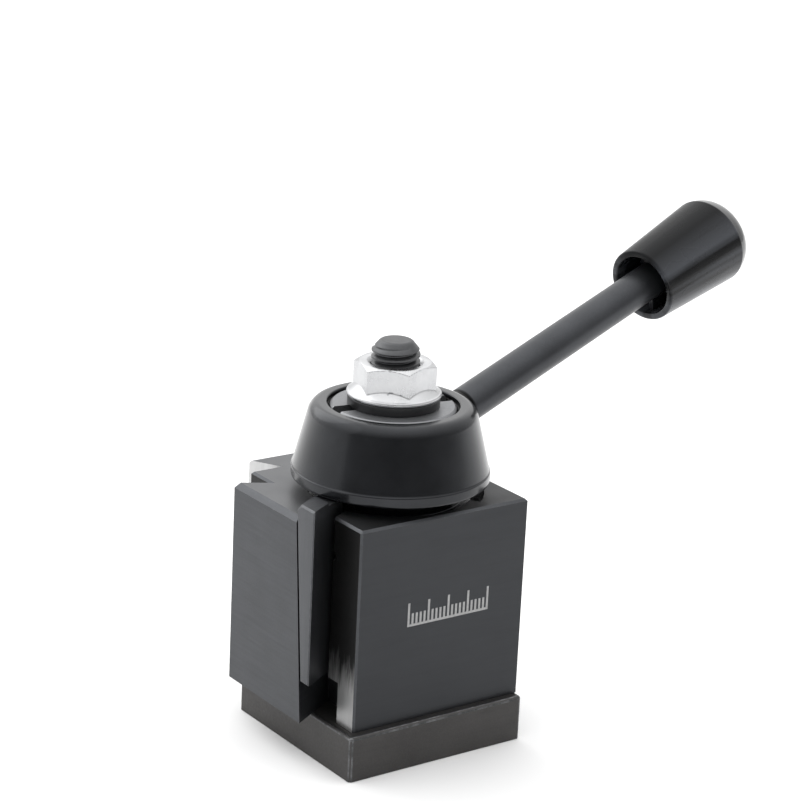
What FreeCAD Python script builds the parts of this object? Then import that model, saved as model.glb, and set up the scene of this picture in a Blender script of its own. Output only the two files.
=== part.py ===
import FreeCAD, Part
import math
import os
import re
import Sketcher

# Quick change tool post, wedge type, for a small lathe. All lengths in millimetres.
# Origin: centre of the stud at the underside of the T-nut blank. +Z runs up the stud,
# -Y is the plain front face, -X carries the turning dovetail and +Y the boring dovetail.

SIZES = [
    # T-nut blank, stud and clamping nut
    ("tnut_width", 43.2), ("tnut_depth", 41.5), ("tnut_thick", 9.8), ("tnut_bevel", 0.5),
    ("stud_radius", 5.0), ("stud_start", 1.0), ("stud_top", 84.8), ("stud_taper", 2.0),
    ("stud_tip_radius", 3.4),
    ("washer_radius", 9.5), ("washer_hole", 5.3), ("washer_thick", 2.0),
    ("nut_flange_radius", 9.75), ("nut_flange_edge", 0.9), ("nut_cone_height", 2.6),
    ("nut_flats", 15.0), ("nut_height", 7.1), ("nut_turn", 14.5), ("nut_countersink", 5.8),
    ("nut_bevel_reach", 2.0), ("nut_bevel_drop", 1.1),
    # post body: distances of its faces from the stud
    ("core_left", 19.8), ("core_right", 21.4), ("core_front", 18.8), ("core_back", 21.8),
    ("turning_face", 26.5), ("boring_face", 28.0), ("turning_tip", 17.6), ("boring_tip", 16.4),
    ("dovetail_width", 29.5), ("dovetail_angle", 30.0), ("body_height", 43.2),
    ("edge_bevel", 1.1), ("fine_bevel", 0.5), ("corner_bevel", 0.4),
    ("split_tip_gap", 1.0), ("split_root_gap", 3.2),
    # wedge slots, measured from the stud along the dovetail face
    ("slot_floor", 15.1), ("slot_clearance", 2.6), ("slot_relief", 6.1), ("relief_height", 8.7),
    ("split_offset", 6.25), ("wedge_angle", 4.9), ("slot_notch_drop", 8.2), ("slot_notch_radius", 0.9),
    ("slot_notch_depth", 2.0),
    # round features of the body
    ("sleeve_radius", 13.0), ("pocket_radius", 17.2), ("pocket_depth", 6.8),
    ("foot_radius", 14.6), ("foot_height", 3.0),
    ("stop_arc", 107.5), ("stop_pitch", 18.2), ("stop_radius", 1.0), ("stop_play", 0.3),
    ("stop_depth", 3.6),
    # centre sleeve and its dowels
    ("sleeve_bore", 5.3), ("sleeve_rise", 18.2), ("sleeve_bevel", 0.5),
    ("drive_slot_width", 3.6), ("drive_slot_depth", 2.5), ("drive_slot_turn", -10.0),
    ("dowel_radius", 1.25), ("dowel_length", 6.0), ("dowel_turn", 315.0),
    # wedges
    ("wedge_gap", 0.3), ("wedge_inner", 15.4), ("wedge_rise", 3.0), ("wedge_drop", 34.3),
    ("wedge_bevel", 1.4), ("wedge_edge", 0.35), ("hook_start", 21.0),
    ("rim_clearance", 0.3), ("flange_clearance", 0.3), ("flange_side_clearance", 0.6),
    ("hook_cut_width", 80.0),
    # cam hub
    ("broken_edge", 0.4), ("hub_lift", 2.65), ("hub_bore", 13.06), ("hub_flange_radius", 16.8),
    ("hub_flange_drop", 4.2),
    ("hub_flange_thick", 3.0), ("hub_neck_radius", 14.8), ("hub_rim_radius", 20.5),
    ("hub_rim_band", 2.2), ("hub_band_step", 0.25), ("hub_shoulder_radius", 17.25),
    ("hub_shoulder_rise", 17.1), ("hub_top_radius", 16.0), ("hub_top_rise", 18.4),
    ("hub_mouth_radius", 13.6), ("hub_mouth_depth", 5.4),
    ("seal_inner", 13.3), ("seal_outer", 14.3), ("seal_thick", 1.0), ("seal_play", 0.3),
    ("seal_drop", 2.1),
    ("stop_turn", 50.0), ("stop_reach", 3.65), ("stop_grip", 2.85),
    # handle: distances along its axis from the stud
    ("handle_turn", 11.0), ("handle_tilt", 16.2), ("handle_rise", 7.06),
    ("rod_radius", 3.95), ("rod_thread_radius", 3.0), ("rod_start", 15.2), ("rod_shoulder", 18.0),
    ("rod_relief_radius", 3.6), ("rod_relief", 22.0), ("seat_radius", 4.7),
    ("rod_neck", 94.0), ("rod_end", 103.0),
    ("knob_mouth", 82.0), ("knob_mouth_radius", 8.4), ("knob_wide", 106.0), ("knob_wide_radius", 10.0),
    ("knob_end", 112.3), ("knob_end_radius", 5.6), ("knob_wall", 1.45), ("knob_lip", 0.35),
    ("knob_boss_start", 89.0),
    ("knob_boss_radius", 6.0), ("knob_floor", 96.0), ("knob_fit", 4.1), ("insert_radius", 4.6),
    ("rib_start", 84.5), ("rib_thick", 1.1), ("rib_inner", 4.6),
]

document = FreeCAD.newDocument("ToolPost")
sheet = document.addObject("Spreadsheet::Sheet", "Sizes")
for row, (alias, number) in enumerate(SIZES, start=1):
    sheet.set("A%d" % row, alias)
    sheet.set("B%d" % row, str(number))
    sheet.setAlias("B%d" % row, alias)
document.recompute()
ALIASES = {alias for alias, number in SIZES}

# Levels and places that several pieces share, as sheet expressions.
BODY_BOTTOM = "tnut_thick"
BODY_TOP = "(tnut_thick + body_height)"
SLEEVE_TOP = "(%s + sleeve_rise)" % BODY_TOP
NUT_SEAT = "(%s + washer_thick)" % SLEEVE_TOP
HUB_UNDERSIDE = "(%s + hub_lift)" % BODY_TOP
HUB_BOTTOM = "(%s - hub_flange_drop)" % BODY_TOP
FLANGE_TOP = "(%s + hub_flange_thick)" % HUB_BOTTOM
HUB_TOP = "(%s + hub_top_rise)" % BODY_TOP
SEAL_BOTTOM = "(%s - seal_drop)" % HUB_TOP
TURNING_WEDGE_TIP = "(dovetail_width - turning_tip)"
BORING_WEDGE_TIP = "(dovetail_width - boring_tip)"


def bind(text):
    """Sheet expression for a formula written with plain alias names."""
    words = lambda match: "Sizes." + match.group(0) if match.group(0) in ALIASES else match.group(0)
    return re.sub(r"[a-z][a-z_]*", words, str(text))


def size(alias):
    """Number in the sheet, for the few places that no expression can reach."""
    return sheet.get(alias)


def new_body(label):
    body = document.addObject("PartDesign::Body", label)
    body.Label = label
    return body


def new_sketch(body, plane, name, level=None):
    """Empty sketch on one of the body's own origin planes, moved along its normal by level."""
    sketch = body.newObject("Sketcher::SketchObject", name)
    origin_plane = [item for item in body.Origin.OriginFeatures if item.Role == plane + "_Plane"][0]
    sketch.AttachmentSupport = (origin_plane, [""])
    sketch.MapMode = "FlatFace"
    if level is not None:
        sketch.setExpression("AttachmentOffset.Base.z", bind(level))
    return sketch


def outline(body, plane, name, corners, level=None):
    """Closed sketch through corners, each corner a pair of formulas."""
    sketch = new_sketch(body, plane, name, level)
    count = len(corners)
    spread = []
    for index in range(count):
        turn = 2 * math.pi * index / count
        spread.append(FreeCAD.Vector(50 * math.cos(turn), 50 * math.sin(turn), 0))
    for index in range(count):
        sketch.addGeometry(Part.LineSegment(spread[index], spread[(index + 1) % count]), False)
    for index in range(count):
        joint = Sketcher.Constraint("Coincident", index, 2, (index + 1) % count, 1)
        sketch.addConstraint(joint)
    for index, (across, along) in enumerate(corners):
        for kind, formula, start in (("DistanceX", across, spread[index].x),
                                     ("DistanceY", along, spread[index].y)):
            place = sketch.addConstraint(Sketcher.Constraint(kind, index, 1, start))
            sketch.setExpression("Constraints[%d]" % place, bind(formula))
    return sketch


def circles(body, plane, name, places, level=None):
    """Sketch with one circle for each (x, y, radius), all three as formulas."""
    sketch = new_sketch(body, plane, name, level)
    for index, (across, along, radius) in enumerate(places):
        start = FreeCAD.Vector(10 + 20 * index, 10, 0)
        sketch.addGeometry(Part.Circle(start, FreeCAD.Vector(0, 0, 1), 5), False)
        for kind, formula, number in (("DistanceX", across, start.x), ("DistanceY", along, start.y)):
            place = sketch.addConstraint(Sketcher.Constraint(kind, index, 3, number))
            sketch.setExpression("Constraints[%d]" % place, bind(formula))
        place = sketch.addConstraint(Sketcher.Constraint("Radius", index, 5.0))
        sketch.setExpression("Constraints[%d]" % place, bind(radius))
    return sketch


def finish_feature(body, feature, removes):
    """Recompute one feature and check that it adds or removes material as meant."""
    before = 0.0 if body.Shape.isNull() else body.Shape.Volume
    document.recompute()
    after = body.Shape.Volume
    if "Invalid" in feature.State or "Error" in feature.State:
        raise ValueError("%s failed" % feature.Name)
    if removes and not after < before - 1e-6:
        raise ValueError("%s cuts nothing" % feature.Name)
    if not removes and not after > before + 1e-6:
        raise ValueError("%s adds nothing" % feature.Name)
    return feature


def pad(body, name, sketch, length, direction=None):
    feature = body.newObject("PartDesign::Pad", name)
    feature.Profile = sketch
    feature.setExpression("Length", bind(length))
    if direction:
        feature.UseCustomVector = True
        feature.Direction = FreeCAD.Vector(*direction)
    return finish_feature(body, feature, removes=False)


def pocket(body, name, sketch, length=None, reverse=False, direction=None, both_ways=False):
    """Pocket to a depth, or through everything where no length is given."""
    feature = body.newObject("PartDesign::Pocket", name)
    feature.Profile = sketch
    if length is None:
        feature.Type = "ThroughAll"
    else:
        feature.Type = "Length"
        feature.setExpression("Length", bind(length))
    if both_ways:
        feature.SideType = "Symmetric"
    feature.Reversed = reverse
    if direction:
        feature.UseCustomVector = True
        feature.Direction = FreeCAD.Vector(*direction)
    return finish_feature(body, feature, removes=True)


def revolve(body, name, sketch, cut=False, angle=None):
    """Turn a profile about the sketch's upright axis; an angle is split evenly about the sketch."""
    feature = body.newObject("PartDesign::Groove" if cut else "PartDesign::Revolution", name)
    feature.Profile = sketch
    feature.ReferenceAxis = (sketch, ["V_Axis"])
    if angle is None:
        feature.Angle = 360
    else:
        feature.setExpression("Angle", bind(angle))
        feature.Midplane = True
    return finish_feature(body, feature, removes=cut)


def turned(label, corners):
    """Piece turned on a lathe: a profile of (radius, height) formulas revolved about Z."""
    body = new_body(label)
    revolve(body, label + "_turned", outline(body, "XZ", label + "_profile", corners))
    return body


def bevel(body, name, edge_test, width):
    """Chamfer on every edge of the body that passes the test."""
    base = body.Tip
    names = ["Edge%d" % (index + 1) for index, edge in enumerate(base.Shape.Edges) if edge_test(edge)]
    feature = body.newObject("PartDesign::Chamfer", name)
    feature.Base = (base, names)
    feature.setExpression("Size", bind(width))
    return finish_feature(body, feature, removes=True)


def ring_profile(inner, outer, bottom, top):
    return [(inner, bottom), (outer, bottom), (outer, top), (inner, top)]


def at_level(edge, level, straight=True):
    """True for an edge that lies flat at the given height."""
    if straight and not isinstance(edge.Curve, (Part.Line, Part.LineSegment)):
        return False
    return all(abs(vertex.Z - level) < 1e-4 for vertex in edge.Vertexes)


def is_upright(edge):
    low, high = edge.BoundBox.ZMin, edge.BoundBox.ZMax
    return high - low > 1.0 and edge.BoundBox.XLength < 1e-4 and edge.BoundBox.YLength < 1e-4


def is_flank(edge):
    """True for a long edge that runs askew to both X and Y, as a dovetail's flank does."""
    return min(edge.BoundBox.XLength, edge.BoundBox.YLength) > 1.5


# ---------------------------------------------------------------- T-nut, stud, washer and nut

def make_tnut():
    body = new_body("tnut_blank")
    across, along = "tnut_width / 2", "tnut_depth / 2"
    corners = [("-" + across, "-" + along), (across, "-" + along), (across, along), ("-" + across, along)]
    pad(body, "tnut_plate", outline(body, "XY", "tnut_plan", corners), "tnut_thick")
    thick = size("tnut_thick")
    bevel(body, "tnut_edges", lambda edge: at_level(edge, thick) or is_upright(edge), "tnut_bevel")
    thread = circles(body, "XY", "tnut_thread_plan", [("0", "0", "stud_radius")])
    pocket(body, "tnut_thread", thread, reverse=True)
    return body


def make_stud():
    taper_start = "stud_top - stud_taper"
    return turned("stud", [("0", "stud_start"), ("stud_radius", "stud_start"),
                           ("stud_radius", taper_start), ("stud_tip_radius", "stud_top"),
                           ("0", "stud_top")])


def make_washer():
    return turned("clamp_washer", ring_profile("washer_hole", "washer_radius", SLEEVE_TOP, NUT_SEAT))


def make_nut():
    """Flange nut: a hexagon on a conical flange, with a bevelled top and a countersunk thread."""
    body = new_body("flange_nut")
    corner_radius = "nut_flats / 2 / cos(30)"
    hexagon = []
    for index in range(6):
        turn = "nut_turn + %d" % (60 * index)
        hexagon.append(("%s * cos(%s)" % (corner_radius, turn), "%s * sin(%s)" % (corner_radius, turn)))
    pad(body, "nut_hexagon", outline(body, "XY", "nut_plan", hexagon, NUT_SEAT), "nut_height")
    flange = [("0", NUT_SEAT), ("nut_flange_radius", NUT_SEAT),
              ("nut_flange_radius", NUT_SEAT + " + nut_flange_edge"),
              ("nut_flats / 2", NUT_SEAT + " + nut_cone_height"), ("0", NUT_SEAT + " + nut_cone_height")]
    revolve(body, "nut_flange", outline(body, "XZ", "nut_flange_profile", flange))
    top = "%s + nut_height" % NUT_SEAT
    bevel_reach = "nut_flats / 2 + nut_bevel_reach"
    chamfer = [("nut_flats / 2", top), (bevel_reach, top + " - nut_bevel_drop"), (bevel_reach, top)]
    revolve(body, "nut_top_bevel", outline(body, "XZ", "nut_top_profile", chamfer), cut=True)
    thread = [("0", NUT_SEAT + " - 1"), ("stud_radius", NUT_SEAT + " - 1"),
              ("stud_radius", top + " - nut_countersink + stud_radius"), ("nut_countersink", top), ("0", top)]
    revolve(body, "nut_thread", outline(body, "XZ", "nut_thread_profile", thread), cut=True)
    return body


# ---------------------------------------------------------------- post body

def slot_outline(side, tip, reach):
    """Outline of a wedge slot on its dovetail face, as (distance along the face, height).

    side is -1 where the distance runs against the sketch's axis. reach is the depth of the
    dovetail, over which the slanted slot moves back by the dovetail's angle.
    """
    split = "(%s - split_offset)" % tip
    slant = "%s * tan(dovetail_angle)" % reach
    top, bottom = BODY_TOP + " + 1", BODY_BOTTOM + " - 1"
    split_top = "(%s - 1 * tan(wedge_angle))" % split
    split_bottom = "(%s + (body_height + 1) * tan(wedge_angle))" % split
    edge = "(%s - slot_clearance + %s)" % (tip, slant)
    relief = "(%s - slot_clearance + %s + slot_relief - slot_clearance)" % (tip, slant)
    level = "%s + relief_height" % BODY_BOTTOM
    corners = [(split_top, top), (edge, top), (edge, level), (relief, level), (relief, bottom),
               (split_bottom, bottom)]
    return [("%s * %s" % (side, across), height) for across, height in corners]


def cut_slots(body):
    tilt = math.radians(size("dovetail_angle"))
    inward, sideways = math.cos(tilt), math.sin(tilt)
    sides = (("turning", "YZ", "-turning_face", -1, TURNING_WEDGE_TIP, "(turning_face - core_left)",
              "turning_face", (inward, sideways, 0)),
             ("boring", "XZ", "-boring_face", 1, BORING_WEDGE_TIP, "(boring_face - core_back)",
              "boring_face", (-sideways, -inward, 0)))
    for name, plane, level, side, tip, reach, face, direction in sides:
        corners = slot_outline(side, tip, reach)
        sketch = outline(body, plane, name + "_slot_plan", corners, level)
        pocket(body, name + "_slot", sketch, face + " - slot_floor", direction=direction)


def make_post_body():
    body = new_body("post_body")
    turning_reach = "(turning_face - core_left)"
    boring_reach = "(boring_face - core_back)"
    # the block ends inside each wedge slot, split_tip_gap short of the wedge's tip at the face
    plan = [("-core_left", "-core_front + corner_bevel"), ("-core_left + corner_bevel", "-core_front"),
            ("core_right", "-core_front"), ("core_right", "core_back"),
            (BORING_WEDGE_TIP + " - split_root_gap", "core_back"),
            (BORING_WEDGE_TIP + " - split_tip_gap", "boring_face"),
            ("-boring_tip", "boring_face"),
            ("-boring_tip + %s * tan(dovetail_angle)" % boring_reach, "core_back"),
            ("-core_left", "core_back"),
            ("-core_left", "turning_tip - %s * tan(dovetail_angle)" % turning_reach),
            ("-turning_face", "turning_tip"), ("-turning_face", "split_tip_gap - " + TURNING_WEDGE_TIP),
            ("-core_left", "split_root_gap - " + TURNING_WEDGE_TIP)]
    pad(body, "post_block", outline(body, "XY", "post_plan", plan, BODY_BOTTOM), "body_height")
    top = size("tnut_thick") + size("body_height")
    face, reach = -size("turning_face"), size("edge_bevel")

    def on_turning_face(edge, within):
        return at_level(edge, top) and edge.BoundBox.XMax < face + within

    bevel(body, "post_turning_top_edge", lambda edge: on_turning_face(edge, 0.01), "edge_bevel")
    bevel(body, "post_top_edges", lambda edge: at_level(edge, top) and not is_flank(edge)
          and not on_turning_face(edge, reach + 0.01), "fine_bevel")

    bore = circles(body, "XY", "post_bore_plan", [("0", "0", "sleeve_radius")])
    pocket(body, "post_bore", bore, reverse=True)
    foot = circles(body, "XY", "post_foot_plan", [("0", "0", "foot_radius")], BODY_BOTTOM)
    pocket(body, "post_foot_recess", foot, "foot_height", reverse=True)
    hub_pocket = circles(body, "XY", "post_pocket_plan", [("0", "0", "pocket_radius")], BODY_TOP)
    pocket(body, "post_hub_pocket", hub_pocket, "pocket_depth")
    cut_slots(body)

    outer = "stop_pitch + stop_radius + stop_play"
    floor = BODY_TOP + " - stop_depth"
    arc = ring_profile("sleeve_radius + 1", outer, floor, BODY_TOP + " + 1")
    revolve(body, "post_stop_arc", outline(body, "XZ", "post_stop_profile", arc), cut=True, angle="stop_arc")

    holes = circles(body, "XY", "post_dowel_plan", dowel_places(), BODY_BOTTOM)
    pocket(body, "post_dowel_holes", holes, "dowel_length", reverse=True)

    notch_level = BODY_TOP + " - slot_notch_drop"
    notch_along = "-(%s - slot_clearance)" % TURNING_WEDGE_TIP
    notch = circles(body, "YZ", "post_notch_plan", [(notch_along, notch_level, "slot_notch_radius")],
                    "-core_left")
    pocket(body, "post_notch", notch, "slot_notch_depth", reverse=True)
    return body


# ---------------------------------------------------------------- wedges

def make_wedge(label, plane, level, side, tip, face, direction):
    """Tapered wedge: a prism that runs inward along the dovetail's slant, with a hook on top."""
    body = new_body(label)
    top, bottom = BODY_TOP + " + wedge_rise", BODY_TOP + " - wedge_drop"
    split = "(%s - split_offset + wedge_gap)" % tip
    left_top = "(%s - wedge_rise * tan(wedge_angle))" % split
    left_bottom = "(%s + wedge_drop * tan(wedge_angle))" % split
    corners = [("%s + wedge_bevel" % left_top, top), (tip, top), (tip, bottom), (left_bottom, bottom),
               (left_top, top + " - wedge_bevel")]
    corners = [("%s * (%s)" % (side, across), height) for across, height in corners]
    prism = outline(body, plane, label + "_face", corners, level)
    pad(body, label + "_prism", prism, face + " - wedge_inner", direction)
    corner_level = size(face)
    axis = 0 if plane == "YZ" else 1

    def on_face(edge):
        return all(abs(abs(vertex.Point[axis]) - corner_level) < 1e-3 for vertex in edge.Vertexes)

    bevel(body, label + "_face_edges", on_face, "wedge_edge")
    # the hook passes under the rim of the hub, and the notch below it takes the hub's flange
    far = "(wedge_inner - 2)"
    under_rim = HUB_UNDERSIDE + " - rim_clearance"
    cuts = (("rim_step", "hook_start", under_rim, top + " + 1"),
            ("flange_notch", "(hub_flange_radius + flange_side_clearance)",
             HUB_BOTTOM + " - flange_clearance", FLANGE_TOP + " + flange_clearance"))
    across_plane, sign = ("XZ", "-") if plane == "YZ" else ("YZ", "")
    for name, start, low, high in cuts:
        rectangle = [(sign + start, low), (sign + far, low), (sign + far, high), (sign + start, high)]
        sketch = outline(body, across_plane, "%s_%s_plan" % (label, name), rectangle)
        pocket(body, "%s_%s" % (label, name), sketch, "hook_cut_width", both_ways=True)
    return body


def make_wedges():
    tilt = math.radians(size("dovetail_angle"))
    inward, sideways = math.cos(tilt), math.sin(tilt)
    turning = make_wedge("turning_wedge", "YZ", "-turning_face", -1, TURNING_WEDGE_TIP, "turning_face",
                         (inward, sideways, 0))
    boring = make_wedge("boring_wedge", "XZ", "-boring_face", 1, BORING_WEDGE_TIP, "boring_face",
                        (-sideways, -inward, 0))
    return [turning, boring]


# ---------------------------------------------------------------- centre sleeve and dowels

def dowel_places():
    """The two dowels sit half in the sleeve's foot and half in the body, opposite each other."""
    places = []
    for turn in ("dowel_turn", "dowel_turn - 180"):
        places.append(("foot_radius * cos(%s)" % turn, "foot_radius * sin(%s)" % turn, "dowel_radius"))
    return places


def make_sleeve():
    foot_top = BODY_BOTTOM + " + foot_height"
    body = turned("centre_sleeve", [
        ("sleeve_bore", BODY_BOTTOM), ("foot_radius", BODY_BOTTOM), ("foot_radius", foot_top),
        ("sleeve_radius", foot_top), ("sleeve_radius", SLEEVE_TOP + " - sleeve_bevel"),
        ("sleeve_radius - sleeve_bevel", SLEEVE_TOP), ("sleeve_bore", SLEEVE_TOP)])
    half_length, half_width = "(sleeve_radius + 2)", "(drive_slot_width / 2)"
    corners = []
    for along, across in ((-1, -1), (1, -1), (1, 1), (-1, 1)):
        x = "%d * %s * cos(drive_slot_turn) - %d * %s * sin(drive_slot_turn)"
        y = "%d * %s * sin(drive_slot_turn) + %d * %s * cos(drive_slot_turn)"
        terms = (along, half_length, across, half_width)
        corners.append((x % terms, y % terms))
    pocket(body, "sleeve_drive_slot", outline(body, "XY", "sleeve_slot_plan", corners, SLEEVE_TOP),
           "drive_slot_depth")
    holes = circles(body, "XY", "sleeve_dowel_plan", dowel_places(), BODY_BOTTOM)
    pocket(body, "sleeve_dowel_flats", holes, "dowel_length", reverse=True)
    return body


def cylinder(name, radius, height, place):
    """Upright cylinder with its foot at place, an (x, y, z) of formulas."""
    shape = document.addObject("Part::Cylinder", name)
    shape.setExpression("Radius", bind(radius))
    shape.setExpression("Height", bind(height))
    for axis, formula in zip("xyz", place):
        shape.setExpression("Placement.Base." + axis, bind(formula))
    return shape


def make_dowels():
    """Two loose dowels as one compound. They lock the sleeve's foot to the body."""
    parts = []
    for number, (across, along, radius) in enumerate(dowel_places(), start=1):
        parts.append(cylinder("dowel_%d" % number, radius, "dowel_length", (across, along, BODY_BOTTOM)))
    group = document.addObject("Part::Compound", "sleeve_dowels")
    group.Links = parts
    group.Label = "sleeve_dowels"
    return group


# ---------------------------------------------------------------- cam hub

def handle_frame(body):
    """Place a body so that its own Z axis is the handle's axis, with Z = 0 on the stud."""
    turn, tilt = size("handle_turn"), size("handle_tilt")
    level = size("tnut_thick") + size("body_height") + size("handle_rise")
    lean = FreeCAD.Rotation(FreeCAD.Vector(0, 1, 0), 90 - tilt)
    swing = FreeCAD.Rotation(FreeCAD.Vector(0, 0, 1), turn)
    body.Placement = FreeCAD.Placement(FreeCAD.Vector(0, 0, level), swing.multiply(lean))


def handle_tool(name, radius, start, length):
    """Cylinder on the handle's axis, used to cut the hub."""
    tool = document.addObject("Part::Cylinder", name)
    tool.setExpression("Radius", bind(radius))
    tool.setExpression("Height", bind(length))
    handle_frame(tool)
    forward = tool.Placement.Rotation.multVec(FreeCAD.Vector(0, 0, size(start)))
    tool.Placement.Base = tool.Placement.Base + forward
    return tool


def make_hub():
    """Conical hub with its lifting flange, drilled and spot faced for the handle."""
    rim_top = HUB_UNDERSIDE + " + hub_rim_band"
    groove_low, groove_high = SEAL_BOTTOM + " - seal_play", SEAL_BOTTOM + " + seal_thick + seal_play"
    groove = "seal_outer + seal_play"
    blank = turned("hub_blank", [
        ("hub_bore", HUB_BOTTOM), ("hub_flange_radius", HUB_BOTTOM), ("hub_flange_radius", FLANGE_TOP),
        ("hub_neck_radius", FLANGE_TOP), ("hub_neck_radius", HUB_UNDERSIDE),
        ("hub_rim_radius - broken_edge", HUB_UNDERSIDE), ("hub_rim_radius", HUB_UNDERSIDE + " + broken_edge"),
        ("hub_rim_radius", rim_top), ("hub_rim_radius - hub_band_step", rim_top + " + hub_band_step"),
        ("hub_shoulder_radius", BODY_TOP + " + hub_shoulder_rise"), ("hub_top_radius", HUB_TOP),
        ("hub_mouth_radius + broken_edge", HUB_TOP), ("hub_mouth_radius", HUB_TOP + " - broken_edge"),
        ("hub_mouth_radius", groove_high), (groove, groove_high), (groove, groove_low),
        ("hub_mouth_radius", groove_low), ("hub_mouth_radius", HUB_TOP + " - hub_mouth_depth"),
        ("hub_bore", HUB_TOP + " - hub_mouth_depth - hub_mouth_radius + hub_bore")])
    pin_hole = circles(blank, "XY", "hub_pin_plan",
                       [("stop_pitch * cos(stop_turn)", "stop_pitch * sin(stop_turn)", "stop_radius")],
                       HUB_UNDERSIDE)
    pocket(blank, "hub_pin_hole", pin_hole, "stop_grip", reverse=True)
    seat = handle_tool("handle_seat", "seat_radius", "rod_shoulder", "rod_shoulder")
    socket = handle_tool("handle_socket", "rod_thread_radius", "rod_start", "rod_shoulder")
    tools = document.addObject("Part::MultiFuse", "handle_tools")
    tools.Shapes = [seat, socket]
    hub = document.addObject("Part::Cut", "cam_hub")
    hub.Base = blank
    hub.Tool = tools
    hub.Label = "cam_hub"
    return hub


def make_stop_pin():
    place = ("stop_pitch * cos(stop_turn)", "stop_pitch * sin(stop_turn)", HUB_UNDERSIDE + " - stop_reach")
    return cylinder("stop_pin", "stop_radius", "stop_reach + stop_grip", place)


def make_seal():
    return turned("hub_seal_ring", ring_profile("seal_inner", "seal_outer", SEAL_BOTTOM,
                                                SEAL_BOTTOM + " + seal_thick"))


# ---------------------------------------------------------------- handle

def make_rod():
    rod = turned("handle_rod", [
        ("0", "rod_start"), ("rod_thread_radius - broken_edge", "rod_start"),
        ("rod_thread_radius", "rod_start + broken_edge"), ("rod_thread_radius", "rod_shoulder"),
        ("rod_relief_radius", "rod_shoulder"), ("rod_relief_radius", "rod_relief"),
        ("rod_radius", "rod_relief + broken_edge"),
        ("rod_radius", "rod_neck"), ("rod_thread_radius", "rod_neck"), ("rod_thread_radius", "rod_end"),
        ("0", "rod_end")])
    handle_frame(rod)
    return rod


def make_insert():
    insert = turned("knob_insert", ring_profile("rod_thread_radius", "insert_radius", "rod_neck", "rod_end"))
    handle_frame(insert)
    return insert


def make_knob():
    """Tapered hollow knob: an outer wall, a boss round the rod and four ribs between them."""
    inner_mouth = "knob_mouth_radius - knob_wall"
    knob = turned("handle_knob", [
        (inner_mouth, "knob_mouth"), ("knob_mouth_radius - knob_lip", "knob_mouth"),
        ("knob_mouth_radius", "knob_mouth + knob_lip"), ("knob_wide_radius", "knob_wide"),
        ("knob_wide_radius - 0.4", "knob_wide + 2.0"), ("knob_wide_radius - 2.0", "knob_wide + 4.4"),
        ("knob_end_radius", "knob_end - 0.5"), ("0", "knob_end"), ("0", "rod_end"),
        ("insert_radius", "rod_end"), ("insert_radius", "rod_neck"), ("knob_fit", "rod_neck"),
        ("knob_fit", "knob_boss_start"), ("knob_boss_radius", "knob_boss_start"),
        ("knob_boss_radius", "knob_floor"), (inner_mouth, "knob_floor")])
    ribs = []
    for index in range(2):
        half, reach = "(rib_thick / 2)", "(%s + 0.2)" % inner_mouth
        corners = [("-" + reach, "-" + half), (reach, "-" + half), (reach, half), ("-" + reach, half)]
        if index:
            corners = [(along, across) for across, along in corners]
        ribs.append(corners)
    for index, corners in enumerate(ribs):
        plan = outline(knob, "XY", "knob_rib_plan_%d" % index, corners, "rib_start")
        pad(knob, "knob_rib_%d" % index, plan, "knob_floor - rib_start + 0.5")
    clear = circles(knob, "XY", "knob_rib_bore_plan", [("0", "0", "rib_inner")], "rib_start - 1")
    pocket(knob, "knob_rib_bore", clear, "knob_boss_start - rib_start + 1", reverse=True)
    bore = circles(knob, "XY", "knob_rod_bore_plan", [("0", "0", "knob_fit")], "rib_start - 1")
    pocket(knob, "knob_rod_bore", bore, "rod_neck - rib_start + 1", reverse=True)
    seat = circles(knob, "XY", "knob_insert_plan", [("0", "0", "insert_radius")], "rod_neck")
    pocket(knob, "knob_insert_bore", seat, "rod_end - rod_neck", reverse=True)
    handle_frame(knob)
    return knob


# ---------------------------------------------------------------- build, check and write

nodes = [make_tnut(), make_stud(), make_washer(), make_nut(), make_post_body(), make_sleeve(),
         make_dowels(), make_hub(), make_stop_pin(), make_seal(), make_rod(), make_insert(), make_knob()]
nodes += make_wedges()
document.recompute()

for item in document.Objects:
    if "Invalid" in item.State or "Error" in item.State:
        raise ValueError("%s did not build" % item.Label)
os.makedirs("parts", exist_ok=True)
for node in nodes:
    shape = node.Shape
    if shape.isNull() or not shape.isValid() or not shape.Solids:
        raise ValueError("%s is not a valid solid" % node.Label)
    print("%-16s solids %d volume %9.1f z %6.2f to %6.2f" % (
        node.Label, len(shape.Solids), shape.Volume, shape.BoundBox.ZMin, shape.BoundBox.ZMax))
    shape.exportStep("parts/%s.step" % node.Label)
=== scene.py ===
import math

import bmesh
import bpy
from mathutils import Matrix, Vector


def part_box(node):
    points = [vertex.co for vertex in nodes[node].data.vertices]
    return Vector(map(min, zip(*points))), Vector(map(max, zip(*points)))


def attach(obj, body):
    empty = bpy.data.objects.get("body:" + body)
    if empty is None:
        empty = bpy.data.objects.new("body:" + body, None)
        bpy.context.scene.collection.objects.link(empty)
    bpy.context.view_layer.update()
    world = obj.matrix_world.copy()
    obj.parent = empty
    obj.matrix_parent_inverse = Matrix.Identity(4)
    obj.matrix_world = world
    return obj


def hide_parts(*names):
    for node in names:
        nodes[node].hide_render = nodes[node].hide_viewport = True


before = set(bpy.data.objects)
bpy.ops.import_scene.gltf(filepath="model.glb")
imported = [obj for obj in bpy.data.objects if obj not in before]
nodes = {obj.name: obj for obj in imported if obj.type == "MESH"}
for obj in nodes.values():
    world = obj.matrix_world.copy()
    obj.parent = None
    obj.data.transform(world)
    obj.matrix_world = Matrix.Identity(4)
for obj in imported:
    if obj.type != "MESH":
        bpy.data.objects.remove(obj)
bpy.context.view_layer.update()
MM = 0.001

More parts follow.
